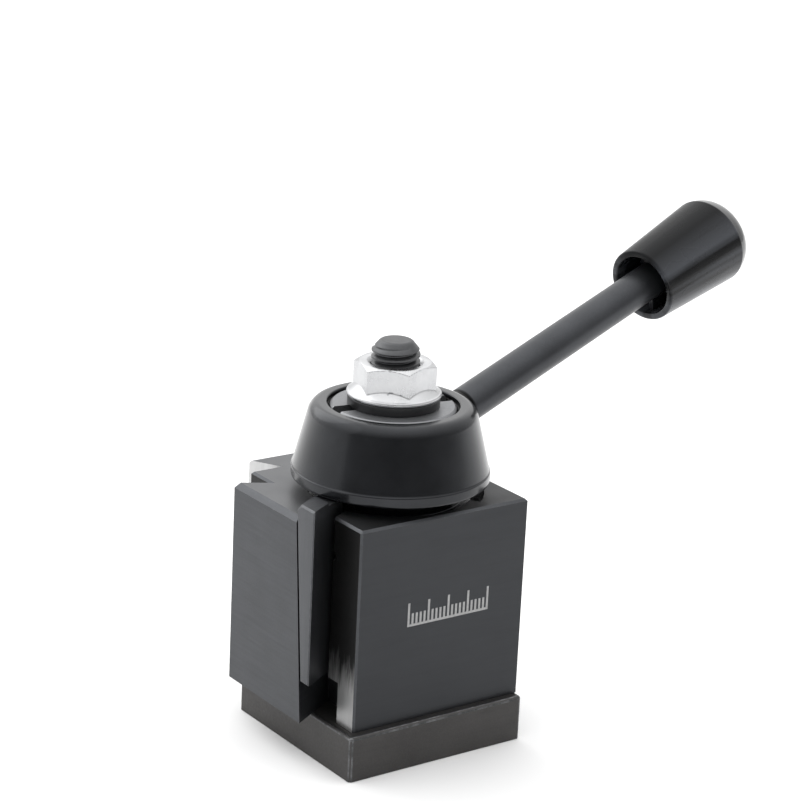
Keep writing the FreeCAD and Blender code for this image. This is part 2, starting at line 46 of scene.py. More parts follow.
BLOCK_LOW, BLOCK_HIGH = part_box("post_body")
BLOCK_TOP = BLOCK_HIGH.z / MM
NUT_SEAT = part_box("flange_nut")[0].z / MM
NUT_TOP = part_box("flange_nut")[1].z / MM
STUD_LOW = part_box("stud")[0].z / MM
STUD_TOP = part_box("stud")[1].z / MM
HUB_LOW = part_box("cam_hub")[0].z / MM
HUB_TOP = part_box("cam_hub")[1].z / MM
WASHER_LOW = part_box("clamp_washer")[0].z / MM
WASHER_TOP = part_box("clamp_washer")[1].z / MM

# The handle: its level above the block, and its turn and tilt in degrees.
HANDLE_RISE = 7.06
HANDLE_TURN = 11.0
HANDLE_TILT = 16.2

# Radii round the handle's axis.
ROOT_RADIUS = 3.0
RELIEF_RADIUS = 3.6
ROD_RADIUS = 3.95
SEAT_RADIUS = 4.7
KNOB_RADIUS = 10.0

# Distances along the handle, from the stud's axis.
ROOT_START = 15.2
SEAT_FLOOR = 18.0
RELIEF_END = 22.0
KNOB_MOUTH = 82.0
INSERT_START = 94.0
ROD_END = 103.0
KNOB_WIDE = 106.0
KNOB_END = 112.3


def handle_matrix():
    """The handle's own frame: Z along the rod, origin on the stud's axis."""
    turn = Matrix.Rotation(math.radians(HANDLE_TURN), 4, "Z")
    tilt = Matrix.Rotation(math.pi / 2 - math.radians(HANDLE_TILT), 4, "Y")
    return Matrix.Translation((0, 0, (BLOCK_TOP + HANDLE_RISE) * MM)) @ (turn @ tilt)


HANDLE = handle_matrix()


# ---------------------------------------------------------------- meshes

def new_object(name, mesh):
    """Object with this mesh, placed in the scene."""
    piece = bpy.data.objects.new(name, mesh)
    bpy.context.scene.collection.objects.link(piece)
    return piece


def filleted(corners, steps=6):
    """Outline through (radius, height, fillet) corners with each corner rounded by its fillet."""
    count = len(corners)
    path = []
    for index, (radius, height, fillet) in enumerate(corners):
        here = Vector((radius, height))
        if not fillet:
            path.append(here)
            continue
        before = Vector(corners[index - 1][:2]) - here
        after = Vector(corners[(index + 1) % count][:2]) - here
        reach = min(fillet, before.length * 0.49, after.length * 0.49)
        start = here + before.normalized() * reach
        end = here + after.normalized() * reach
        for step in range(steps + 1):
            t = step / steps
            path.append(start * (1 - t) ** 2 + here * (2 * t * (1 - t)) + end * t ** 2)
    return path


def turned_mesh(name, path, segments=160):
    """Closed surface turned about Z from an outline of (radius, height) in millimetres."""
    shape = bmesh.new()
    rings = []
    for radius, height in path:
        if radius < 1e-6:
            rings.append([shape.verts.new((0, 0, height * MM))])
            continue
        ring = []
        for index in range(segments):
            turn = 2 * math.pi * index / segments
            ring.append(shape.verts.new((radius * MM * math.cos(turn), radius * MM * math.sin(turn),
                                         height * MM)))
        rings.append(ring)
    for index, ring in enumerate(rings):
        following = rings[(index + 1) % len(rings)]
        if len(ring) == 1 and len(following) == 1:
            continue
        for step in range(segments):
            ahead = (step + 1) % segments
            corners = [ring[step % len(ring)], ring[ahead % len(ring)],
                       following[ahead % len(following)], following[step % len(following)]]
            unique = list(dict.fromkeys(corners))
            if len(unique) > 2:
                shape.faces.new(unique)
    return finished_mesh(name, shape)


def finished_mesh(name, shape):
    """Mesh of a finished shape, with its faces turned outward."""
    bmesh.ops.recalc_face_normals(shape, faces=shape.faces)
    mesh = bpy.data.meshes.new(name)
    shape.to_mesh(mesh)
    shape.free()
    return mesh


def smooth(piece, angle=28.0):
    """Smooth shading with crisp edges where the surface turns by more than angle degrees."""
    for face in piece.data.polygons:
        face.use_smooth = True
    piece.data.set_sharp_from_angle(angle=math.radians(angle))
    modifier = piece.modifiers.new("even_shading", "WEIGHTED_NORMAL")
    modifier.keep_sharp = True
    return piece


def combine(piece, other, operation):
    """Apply a boolean of piece with other and delete other."""
    modifier = piece.modifiers.new("combine", "BOOLEAN")
    modifier.operation = operation
    modifier.solver = "EXACT"
    modifier.object = other
    bpy.context.view_layer.update()
    evaluated = piece.evaluated_get(bpy.context.evaluated_depsgraph_get())
    result = bpy.data.meshes.new_from_object(evaluated)
    piece.modifiers.remove(modifier)
    piece.data = result
    mesh = other.data
    bpy.data.objects.remove(other)
    bpy.data.meshes.remove(mesh)
    return piece


def cuboid_mesh(name, low, high):
    """Box between two corners given in millimetres."""
    shape = bmesh.new()
    bmesh.ops.create_cube(shape, size=1.0)
    for vertex in shape.verts:
        for axis in range(3):
            vertex.co[axis] = (high[axis] if vertex.co[axis] > 0 else low[axis]) * MM
    return finished_mesh(name, shape)


# ---------------------------------------------------------------- materials

class Finish:
    """One material with its node tree, built by short calls."""

    def __init__(self, name):
        self.material = bpy.data.materials.new(name)
        self.material.use_nodes = True
        self.tree = self.material.node_tree
        self.shader = self.tree.nodes["Principled BSDF"]
        self.place = self.add("ShaderNodeTexCoord").outputs["Object"]
        self.geometry = self.add("ShaderNodeNewGeometry")

    def add(self, kind, inputs=None, **settings):
        """New node with its settings, and with each input linked or given a value."""
        node = self.tree.nodes.new(kind)
        for key, value in settings.items():
            setattr(node, key, value)
        for key, value in (inputs or {}).items():
            self.feed(node.inputs[key], value)
        return node

    def feed(self, socket, value):
        if isinstance(value, bpy.types.NodeSocket):
            self.tree.links.new(value, socket)
        else:
            socket.default_value = value

    def set(self, **values):
        """Feed the shader's inputs, each called by a short name."""
        names = {"base": "Base Color", "metallic": "Metallic", "roughness": "Roughness", "ior": "IOR",
                 "normal": "Normal", "coat": "Coat Weight", "coat_roughness": "Coat Roughness",
                 "specular": "Specular IOR Level"}
        for key, value in values.items():
            self.feed(self.shader.inputs[names[key]], value)
        return self

    def now(self, name):
        """What feeds one of the shader's inputs at present."""
        return self.shader.inputs[name].links[0].from_socket

    def noise(self, scale, detail=3.0, rough=0.55, stretch=(1, 1, 1), twist=0.0):
        mapping = self.add("ShaderNodeMapping", {"Vector": self.place, "Scale": stretch})
        node = self.add("ShaderNodeTexNoise", {"Vector": mapping.outputs[0], "Scale": scale,
                                               "Detail": detail, "Roughness": rough,
                                               "Distortion": twist})
        return node.outputs["Fac"]

    def span(self, value, low, high, out_low=0.0, out_high=1.0):
        """Carry the range from low to high over to the range from out_low to out_high."""
        node = self.add("ShaderNodeMapRange", {0: value, 1: low, 2: high, 3: out_low, 4: out_high})
        return node.outputs[0]

    def maths(self, operation, first, second=0.0, third=0.0):
        node = self.add("ShaderNodeMath", {0: first, 1: second, 2: third}, operation=operation)
        return node.outputs[0]

    def blend(self, factor, first, second):
        node = self.add("ShaderNodeMix", {0: factor, 6: first, 7: second}, data_type="RGBA")
        return node.outputs[2]

    def bump(self, height, strength, distance, under=None):
        inputs = {"Height": height, "Strength": strength, "Distance": distance}
        if under is not None:
            inputs["Normal"] = under
        return self.add("ShaderNodeBump", inputs).outputs[0]

    def parts(self, vector):
        return self.add("ShaderNodeSeparateXYZ", {0: vector}).outputs

    def vector_maths(self, operation, first, second):
        return self.add("ShaderNodeVectorMath", {0: first, 1: second}, operation=operation)

    def along_handle(self):
        """Place in the handle's frame: how far below the rod's axis, beside it and along it."""
        offset = self.vector_maths("SUBTRACT", self.place, HANDLE.translation).outputs[0]
        axes = HANDLE.to_3x3().transposed()
        return [self.vector_maths("DOT_PRODUCT", offset, axis).outputs["Value"] for axis in axes]

    def away_from_handle(self, below, beside):
        """Distance from the handle's axis."""
        return self.maths("SQRT", self.maths("ADD", self.maths("MULTIPLY", below, below),
                                             self.maths("MULTIPLY", beside, beside)))


def grey(level, tint=0.0):
    """Nearly neutral colour; a positive tint leans to blue and a negative one to olive."""
    return (level * (1 - tint), level * (1 - 0.35 * abs(tint)), level * (1 + tint), 1.0)


def black_steel(name, level, roughness, tint=0.03, grain=(1, 1, 1), grain_depth=0.35, metallic=0.8,
                mottle=0.12, speckle=0.06):
    """Black oxide over machined steel: mottled tone, fine speckle and a directional grain."""
    f = Finish(name)
    cloud = f.noise(95.0, detail=4.0)
    fleck = f.noise(2600.0, detail=2.0)
    lines = f.noise(1400.0, detail=3.0, stretch=grain)
    dark, light = grey(level * (1 - mottle), tint), grey(level * (1 + mottle), tint)
    tone = f.blend(f.span(cloud, 0.3, 0.7), dark, light)
    tone = f.blend(f.span(fleck, 0.35, 0.75, 0.0, speckle * 2), tone, grey(level * 1.9, tint))
    f.set(base=tone, metallic=metallic)
    rough = f.maths("ADD", f.span(cloud, 0.2, 0.8, roughness - 0.04, roughness + 0.04),
                    f.span(lines, 0.25, 0.75, -0.06, 0.06))
    f.set(roughness=rough)
    fine = f.bump(f.noise(5200.0, detail=2.0), 0.18, 0.00002)
    f.set(normal=f.bump(lines, grain_depth, 0.00002, under=fine))
    return f


def edge_line_finish(name, level, roughness, tint=0.02):
    """The thin line of metal along a broken edge, at the level given: worn metal, and where that level is
    above the face's own tone, also a painted highlight.
    """
    f = Finish(name)
    rub = f.noise(420.0, detail=4.0, rough=0.7)
    f.set(base=f.blend(f.span(rub, 0.42, 0.66), grey(level * 0.45, tint), grey(level, tint)),
          metallic=0.9, roughness=f.span(rub, 0.3, 0.7, roughness + 0.1, roughness - 0.05))
    f.set(normal=f.bump(f.noise(3000.0), 0.2, 0.00002))
    return f


def block_finish():
    """Black block: the corner's slanted flanks are ground bright; the shoulder is painted near black as
    shade, with a painted reflection of the floor low down; the front faces are painted darker as shade and
    the top painted lighter toward the back left.
    """
    f = black_steel("blackened_block", 0.064, 0.42, tint=0.06, grain=(0.05, 0.05, 1.0), grain_depth=0.05)
    place = f.parts(f.place)
    normal = f.parts(f.geometry.outputs["True Normal"])
    slanted, square = 0.3, 0.9
    flank_start = 10.0 * MM
    shoulder_place, shoulder_reach = BLOCK_LOW.x + 6.7 * MM, 0.2 * MM
    # Painted reflection of the floor on the ground shoulder: full at the lower height, fading out by the
    # upper one, along a wavering line.
    reflection_top, reflection_full, reflection_wander = 24.5 * MM, 17.5 * MM, 5.0 * MM
    reflection_strength = 0.6

    sideways = f.maths("MULTIPLY", f.maths("GREATER_THAN", f.maths("ABSOLUTE", normal["X"]), slanted),
                       f.maths("GREATER_THAN", f.maths("ABSOLUTE", normal["Y"]), slanted))
    flank = f.maths("MULTIPLY", sideways, f.maths("GREATER_THAN", place["Y"], flank_start))
    shoulder = f.maths("MULTIPLY", f.maths("COMPARE", place["X"], shoulder_place, shoulder_reach),
                       f.maths("LESS_THAN", normal["X"], -square))
    scratch = f.noise(700.0, detail=4.0, rough=0.7, stretch=(1.0, 1.0, 0.12), twist=0.6)
    edge = f.maths("ADD", place["Z"], f.span(scratch, 0.2, 0.8, -reflection_wander, reflection_wander))
    # Painted reflection: bright bare metal on the front part of the shoulder, low down only.
    painted_reflection = f.maths("MULTIPLY", f.span(edge, reflection_top, reflection_full), f.maths("LESS_THAN", place["Y"], 0.0))
    painted_reflection = f.maths("MULTIPLY", painted_reflection, reflection_strength)
    bare_metal_and_reflection = f.maths("MAXIMUM", flank, f.maths("MULTIPLY", shoulder, painted_reflection))

    # Painted shade: the shoulder face is painted near black wherever the painted reflection does not
    # reach.
    base = f.blend(shoulder, f.now("Base Color"), grey(0.018, 0.0))
    # Painted shade: faces turned to the front are painted darker than the side faces.
    base = f.blend(f.maths("LESS_THAN", normal["Y"], -square), base, grey(0.044, 0.06))
    # Painted light and shade on the top faces: lighter toward the back left, darker toward the front
    # right.
    painted_light_toward_corner = f.span(f.maths("SUBTRACT", place["X"], place["Y"]), 5.0 * MM, -25.0 * MM)
    top = f.blend(painted_light_toward_corner, grey(0.036, 0.04), grey(0.12, 0.03))
    base = f.blend(f.maths("GREATER_THAN", normal["Z"], square), base, top)
    bright = f.blend(f.span(scratch, 0.35, 0.7), grey(0.50, 0.0), grey(0.58, 0.0))
    dull = f.maths("MULTIPLY", f.now("Roughness"), f.maths("SUBTRACT", 1.0, bare_metal_and_reflection))
    shiny = f.maths("MULTIPLY", f.span(scratch, 0.3, 0.7, 0.27, 0.31), bare_metal_and_reflection)
    f.set(base=f.blend(bare_metal_and_reflection, base, bright), roughness=f.maths("ADD", dull, shiny))
    return f


def zinc():
    """Bright zinc plate: blotchy, painted darker on the sloping faces as shade, and dark along the edges.
    """
    f = Finish("bright_zinc")
    blotch = f.noise(260.0, detail=4.0, rough=0.6)
    fine = f.noise(2600.0, detail=3.0)
    up = f.parts(f.geometry.outputs["True Normal"])["Z"]
    # Painted shade: faces that slope part way up are painted darker than the flat ones.
    sloping_shade = f.maths("MULTIPLY", f.span(up, 0.25, 0.5), f.span(up, 0.99, 0.93))
    tone = f.blend(f.span(blotch, 0.3, 0.7), grey(0.50, 0.015), grey(0.61, 0.01))
    tone = f.blend(sloping_shade, tone, f.blend(blotch, grey(0.38, 0.015), grey(0.52, 0.01)))
    edge = f.span(f.geometry.outputs["Pointiness"], 0.54, 0.60)
    rough = f.maths("ADD", f.span(blotch, 0.3, 0.7, 0.26, 0.36), f.span(fine, 0.3, 0.7, -0.03, 0.03))
    f.set(base=f.blend(edge, tone, grey(0.26, 0.02)), metallic=1.0, roughness=rough)
    f.set(normal=f.bump(fine, 0.25, 0.00002, under=f.bump(blotch, 0.25, 0.00008)))
    return f


def polished_black():
    """Turned and polished black oxide of the hub, with faint lathe rings, and the seat round the rod
    painted near black as shade.
    """
    f = Finish("polished_black")
    height = f.parts(f.place)["Z"]
    rings = f.add("ShaderNodeTexNoise", {"W": f.maths("MULTIPLY", height, 5200.0), "Scale": 1.0,
                                         "Detail": 3.0}, noise_dimensions="1D").outputs["Fac"]
    cloud = f.noise(120.0, detail=4.0)
    fleck = f.noise(1500.0, detail=3.0)
    below, beside, along = f.along_handle()
    # Painted shade: the seat round the rod is painted near black and left without the coat.
    seat = f.maths("MULTIPLY",
                   f.maths("LESS_THAN", f.away_from_handle(below, beside), (SEAT_RADIUS + 0.06) * MM),
                   f.maths("GREATER_THAN", along, 12.0 * MM))
    tone = f.blend(f.span(cloud, 0.3, 0.7), grey(0.019, 0.09), grey(0.028, 0.09))
    rough = f.maths("ADD", f.span(cloud, 0.25, 0.75, 0.20, 0.26), f.span(rings, 0.3, 0.7, -0.02, 0.02))
    f.set(base=f.blend(seat, tone, grey(0.004)), metallic=0.75, roughness=rough)
    f.set(normal=f.bump(rings, 0.035, 0.00001, under=f.bump(fleck, 0.1, 0.00003)))
    f.set(coat=f.maths("MULTIPLY", f.maths("SUBTRACT", 1.0, seat), 0.2), coat_roughness=0.12)
    return f


def moulded_black():
    """Glossy moulded plastic: streaks along it, as waves in the bump and as painted reflections in the
    colour; the top painted darker as shade; and more polish on the rounded end.
    """
    f = Finish("moulded_black")
    below, beside, along = f.along_handle()
    away = f.away_from_handle(below, beside)
    down, side = f.maths("DIVIDE", below, away), f.maths("DIVIDE", beside, away)
    stretched = f.maths("MULTIPLY", along, 6.0)
    around = f.add("ShaderNodeCombineXYZ", {0: down, 1: side, 2: stretched}).outputs[0]
    wave_and_reflection_streak = f.add("ShaderNodeTexNoise", {"Vector": around, "Scale": 1.9, "Detail": 3.0,
                                          "Roughness": 0.5}).outputs["Fac"]
    cloud = f.noise(120.0)
    skin = f.noise(1600.0, detail=3.0)
    end = f.span(along, KNOB_WIDE * MM, (KNOB_WIDE + 0.5) * MM)
    before_end = f.maths("SUBTRACT", 1.0, end)
    # Painted shade: the upper side of the knob is painted darker and given less specular.
    top_shade = f.span(down, -0.50, -0.90)
    # Painted reflections: the colour is streaked light and dark along the knob.
    tone = f.blend(f.span(wave_and_reflection_streak, 0.43, 0.58), grey(0.004, 0.09), grey(0.062, 0.09))
    tone = f.blend(top_shade, tone, f.blend(wave_and_reflection_streak, grey(0.003), grey(0.012, 0.09)))
    tone = f.blend(end, tone, f.blend(cloud, grey(0.014, 0.06), grey(0.022, 0.06)))
    specular = f.maths("ADD", f.maths("MULTIPLY", f.maths("MULTIPLY", top_shade, before_end), -0.3), 0.5)
    rough = f.maths("SUBTRACT", f.span(cloud, 0.3, 0.7, 0.30, 0.24), f.maths("MULTIPLY", end, 0.10))
    f.set(base=tone, metallic=0.0, specular=specular, roughness=rough, ior=1.31)
    waves = f.maths("MULTIPLY", wave_and_reflection_streak, before_end)
    f.set(normal=f.bump(waves, 0.2, 0.0006, under=f.bump(skin, 0.12, 0.00003)))
    f.set(coat=f.maths("MULTIPLY", end, 0.9), coat_roughness=0.10)
    return f


def plain_finish(name, low, high, metallic, roughness, scale, depth):
    """Finish of the small pieces and the etched scale: two tones mixed by noise, with a matching bump."""
    f = Finish(name)
    cloud = f.noise(scale, detail=4.0)
    f.set(base=f.blend(f.span(cloud, 0.3, 0.7), low, high), metallic=metallic,
          roughness=f.span(cloud, 0.2, 0.8, roughness - 0.05, roughness + 0.07))
    f.set(normal=f.bump(cloud, depth, 0.00005))
    return f


# ---------------------------------------------------------------- pieces

def carried_over(node, finish, edge=None, width=0.2):
    """Keep a CAD node, with its finish and, where edge is given, broken edges of that finish."""
    piece = nodes[node]
    piece.data.materials.clear()
    piece.data.materials.append(finish.material)
    if edge is None:
        return piece
    piece.data.materials.append(edge.material)
    weld = piece.modifiers.new("weld", "WELD")
    weld.merge_threshold = 1e-6
    flat = piece.modifiers.new("flat_faces", "DECIMATE")
    flat.decimate_type = "DISSOLVE"
    flat.angle_limit = math.radians(0.6)
    soft = piece.modifiers.new("broken_edges", "BEVEL")
    soft.width = width * MM
    soft.segments = 2
    soft.limit_method = "ANGLE"
    soft.angle_limit = math.radians(32.0)
    soft.material = 1
    soft.miter_outer = "MITER_ARC"
    soft.harden_normals = False
    shade = piece.modifiers.new("even_shading", "WEIGHTED_NORMAL")
    shade.keep_sharp = False
    return piece


def dressed(piece, finish, body, slot, *replaced):
    """Give a new piece its finish and its body, and hide the CAD nodes it stands for; slot is not used."""
    piece.data.materials.clear()
    piece.data.materials.append(finish.material)
    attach(piece, body)
    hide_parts(*replaced)
    return piece


def thread_mesh(name, radius, root, pitch, low, high, segments=96):
    """Right-hand thread: a strip of crest, flank, root and flank wound up a helix, closed at both ends."""
    shape = bmesh.new()
    # One turn's outline, as (share of the pitch, radius).
    outline = ((0.0, radius), (0.125, radius), (0.44, root), (0.56, root), (0.875, radius))
    turns = int((high - low) / pitch) + 2
    columns = []
    for step in range(segments + 1):
        angle = 2 * math.pi * step / segments
        column = []
        for turn in range(turns):
            for share, reach in outline:
                height = low + pitch * (turn - 1 + share + step / segments)
                column.append((reach * math.cos(angle), reach * math.sin(angle), height))
        columns.append(column)
    grid = [[shape.verts.new(Vector(p) * MM) for p in column] for column in columns[:-1]]
    rows = len(columns[0])
    shift = len(outline)
    for step in range(segments):
        for row in range(rows - 1):
            if step < segments - 1:
                right_low, right_high = grid[step + 1][row], grid[step + 1][row + 1]
            elif row + 1 + shift < rows:
                right_low, right_high = grid[0][row + shift], grid[0][row + 1 + shift]
            else:
                continue
            shape.faces.new((grid[step][row], right_low, right_high, grid[step][row + 1]))
    shape.edges.ensure_lookup_table()
    border = [edge for edge in shape.edges if edge.is_boundary]
    bmesh.ops.holes_fill(shape, edges=border, sides=0)
    return finished_mesh(name, shape)


def make_stud():
    """M10 stud: a full thread, cut to length with a chamfer at the foot and a domed end."""
    radius, root, pitch = 5.0, 4.12, 1.5
    thread = thread_mesh("threaded_stud", radius, root, pitch, STUD_LOW, STUD_TOP + 2 * pitch)
    core = new_object("threaded_stud", thread)
    crest = radius - 0.01
    envelope = filleted([(0, STUD_LOW, 0), (4.2, STUD_LOW, 0), (crest, STUD_LOW + 0.9, 0),
                         (crest, STUD_TOP - 2.0, 0), (3.5, STUD_TOP - 0.25, 0.5), (3.1, STUD_TOP, 0.3),
                         (0, STUD_TOP, 0)], 4)
    cutter = new_object("stud_envelope", turned_mesh("stud_envelope", envelope, 96))
    combine(core, cutter, "INTERSECT")
    smooth(core, 24)
    finish = black_steel("stud_oxide", 0.070, 0.38, grain=(0.2, 0.2, 1.0), grain_depth=0.3, metallic=0.75)
    return dressed(core, finish, "base", "dark_thread", "stud")


# The flange nut in millimetres, with its turn about the stud in degrees.
NUT_FLATS = 15.0
NUT_FLANGE = 9.75
NUT_RIM = 0.95
NUT_BORE = 5.05
NUT_TURN = 44.5


def soft_high(first, second, blend):
    """Larger of two numbers with a rounded corner where they cross."""
    gap = max(blend - abs(first - second), 0.0) / blend
    return max(first, second) + gap * gap * blend / 4


def nut_radius(turn, height):
    """Outside of the flange nut, as a radius at an angle and a height above its seat."""
    half = NUT_FLATS / 2
    sharpness = 260
    sides = [math.cos(turn - math.radians(60 * side)) for side in range(6)]
    hexagon = half / sum(max(side, 0.0) ** sharpness for side in sides) ** (1 / sharpness)
    chamfer = half - 0.15 + (NUT_TOP - NUT_SEAT - height) * 1.85
    body = -soft_high(-hexagon, -chamfer, 0.12)
    rounding = 0.42
    if height <= NUT_RIM:
        away = abs(height - NUT_RIM / 2) / (NUT_RIM / 2)
        flange = NUT_FLANGE - rounding * (1 - math.sqrt(max(1 - away ** 2.2, 0.0)))
    else:
        flange = NUT_FLANGE - rounding - (height - NUT_RIM) * 1.32
    return soft_high(body, flange, 0.3)


def make_nut():
    """Hexagon nut with a conical flange, built from rings that run up the outside and down the bore."""
    top = NUT_TOP - NUT_SEAT
    cone_end = 3.7
    heights = [0.0, 0.04, 0.12, 0.25, NUT_RIM / 2, 0.7, 0.83, 0.91, NUT_RIM]
    heights += [NUT_RIM + 0.14 * step for step in range(1, 20)]
    heights += [cone_end + (top - cone_end) * (step / 30) for step in range(1, 31)]
    segments = 288
    shape = bmesh.new()

    def ring(radius_of, height):
        verts = []
        for index in range(segments):
            turn = 2 * math.pi * index / segments
            angle = turn + math.radians(NUT_TURN)
            radius = radius_of(turn) * MM
            verts.append(shape.verts.new((radius * math.cos(angle), radius * math.sin(angle),
                                          (NUT_SEAT + height) * MM)))
        return verts

    rings = [ring(lambda turn: NUT_BORE, 0.0)]
    for height in heights:
        rings.append(ring(lambda turn: nut_radius(turn, height), height))
    for radius, height in ((5.85, top), (5.75, top - 0.04), (NUT_BORE, top - 0.8)):
        rings.append(ring(lambda turn: radius, height))
    for index, lower in enumerate(rings):
        upper = rings[(index + 1) % len(rings)]
        for step in range(segments):
            ahead = (step + 1) % segments
            shape.faces.new((lower[step], lower[ahead], upper[ahead], upper[step]))
    nut = smooth(new_object("hex_flange_nut", finished_mesh("hex_flange_nut", shape)), 38)
    return dressed(nut, zinc(), "base", "zinc_nut", "flange_nut")


def make_washer():
    """Thick washer with rounded rims."""
    bore, outside = 5.3, 9.5
    path = filleted([(bore, WASHER_LOW, 0.12), (outside, WASHER_LOW, 0.3), (outside, WASHER_TOP, 0.3),
                     (bore, WASHER_TOP, 0.12)], 3)
    washer = smooth(new_object("thick_washer", turned_mesh("thick_washer", path)), 60)
    finish = black_steel("washer_oxide", 0.035, 0.34, grain=(1, 1, 0.2), metallic=0.6)
    return dressed(washer, finish, "base", "black_washer", "clamp_washer")


def make_hub():
    """Conical hub over the wedges' hooks, with a seat for the handle bored into its side."""
    under = BLOCK_TOP + 2.65
    bore, throat, recess = 13.06, 13.6, 14.6
    flange, neck, skirt = 16.8, 14.8, 20.5
    corners = [(bore, HUB_LOW, 0.2), (flange, HUB_LOW, 0.35), (flange, HUB_LOW + 3.0, 0.35),
               (neck, HUB_LOW + 3.0, 0.5), (neck, under, 0.5), (skirt, under, 0.7),
               (skirt, under + 2.2, 0.35), (20.24, under + 2.5, 0.25), (17.25, HUB_TOP - 1.3, 1.9),
               (16.0, HUB_TOP, 1.1), (throat, HUB_TOP, 0.35), (throat, HUB_TOP - 0.8, 0),
               (recess, HUB_TOP - 0.8, 0.1), (recess, HUB_TOP - 2.4, 0.1), (throat, HUB_TOP - 2.4, 0),
               (throat, HUB_TOP - 5.4, 0.2), (bore, HUB_TOP - 5.94, 0.2)]
    hub = new_object("conical_hub", turned_mesh("conical_hub", filleted(corners, 7), 256))
    seat = (SEAT_RADIUS, SEAT_FLOOR, 36.0)
    root_hole = (ROOT_RADIUS, ROOT_START, SEAT_FLOOR + 1.0)
    for radius, start, end in (seat, root_hole):
        path = [(0, start), (radius, start), (radius, end), (0, end)]
        tool = new_object("seat_tool", turned_mesh("seat_tool", path, 96))
        tool.matrix_world = HANDLE
        combine(hub, tool, "DIFFERENCE")
    smooth(hub, 34)
    return dressed(hub, polished_black(), "hub", "polished_black_steel", "cam_hub")


def make_rod():
    """Handle rod: a root screwed into the hub, a relief groove, the bar and a tip inside the knob."""
    outline = [(0, ROOT_START, 0), (ROOT_RADIUS, ROOT_START, 0.3), (ROOT_RADIUS, SEAT_FLOOR, 0),
               (RELIEF_RADIUS, SEAT_FLOOR, 0.1), (RELIEF_RADIUS, RELIEF_END, 0.1),
               (ROD_RADIUS, RELIEF_END + 0.4, 0.1), (ROD_RADIUS, INSERT_START, 0.2),
               (ROOT_RADIUS, INSERT_START, 0), (ROOT_RADIUS, ROD_END, 0.3), (0, ROD_END, 0)]
    rod = new_object("handle_bar", turned_mesh("handle_bar", filleted(outline, 3), 96))
    rod.data.transform(HANDLE)
    smooth(rod, 40)
    f = black_steel("rod_oxide", 0.046, 0.36, tint=0.07, grain=(1.0, 1.0, 1.0), grain_depth=0.2,
                    metallic=0.75, mottle=0.16)
    # Painted shade: the rod is painted near black from the relief groove down into the hub.
    groove = f.span(f.along_handle()[2], (RELIEF_END + 0.6) * MM, (RELIEF_END + 0.1) * MM)
    f.set(base=f.blend(groove, f.now("Base Color"), grey(0.004)))
    return dressed(rod, f, "hub", "satin_black_rod", "handle_rod")


def make_knob():
    """Tapered knob: hollow from its mouth to the boss round the rod, with four ribs and a domed end."""
    inner = 6.95
    outline = [(inner, KNOB_MOUTH, 0.45), (8.4, KNOB_MOUTH, 0.55), (KNOB_RADIUS, KNOB_WIDE, 0.15)]
    dome_steps = 14
    for step in range(1, dome_steps):
        share = math.sin(math.radians(90 * step / dome_steps))
        radius = KNOB_RADIUS * math.sqrt(1 - share ** 3) * (1 - 0.126 * share)
        outline.append((radius, KNOB_WIDE + (KNOB_END - KNOB_WIDE) * share, 0))
    outline += [(0, KNOB_END, 0), (0, ROD_END, 0), (4.6, ROD_END, 0), (4.6, INSERT_START, 0),
                (4.1, INSERT_START, 0), (4.1, 89.0, 0.2), (6.0, 89.0, 0.3), (6.0, 96.0, 0.3),
                (inner, 96.0, 0.3)]
    knob = new_object("tapered_knob", turned_mesh("tapered_knob", filleted(outline, 5), 192))
    rib_inner, rib_outer, rib_half = 4.75, 7.6, 0.55
    rib_start, rib_end = 84.5, 96.4
    for crosswise in (False, True):
        for side in (-1, 1):
            reach = sorted((side * rib_inner, side * rib_outer))
            thick = (-rib_half, rib_half)
            across, upward = (thick, reach) if crosswise else (reach, thick)
            rib = cuboid_mesh("rib", (across[0], upward[0], rib_start), (across[1], upward[1], rib_end))
            combine(knob, new_object("rib", rib), "UNION")
    knob.data.transform(HANDLE)
    smooth(knob, 30)
    return dressed(knob, moulded_black(), "hub", "knob_plastic", "handle_knob")


def make_mark():
    """Generic etched graduation on the plain face, in place of lettering."""
    shape = bmesh.new()
    face = BLOCK_LOW.y / MM
    left, right, base, stroke, proud = -7.6, 12.6, 30.4, 0.5, 0.02
    ticks, long_every = 21, 5
    long_tick, short_tick = 4.6, 2.3
    boxes = [(left, right, base, base + stroke)]
    for index in range(ticks):
        middle = left + stroke / 2 + (right - left - stroke) * index / (ticks - 1)
        height = short_tick if index % long_every else long_tick
        boxes.append((middle - stroke / 2, middle + stroke / 2, base + stroke, base + stroke + height))
    for low_x, high_x, low_z, high_z in boxes:
        made = bmesh.ops.create_cube(shape, size=1.0)
        for vertex in made["verts"]:
            vertex.co = Vector((high_x if vertex.co.x > 0 else low_x,
                                face - proud if vertex.co.y < 0 else face + proud,
                                high_z if vertex.co.z > 0 else low_z)) * MM
    mark = new_object("etched_scale", finished_mesh("etched_scale", shape))
    finish = plain_finish("etched_grey", grey(0.30), grey(0.42), 0.3, 0.55, 1800.0, 0.3)
    mark.data.materials.append(finish.material)
    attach(mark, "post")
    return mark


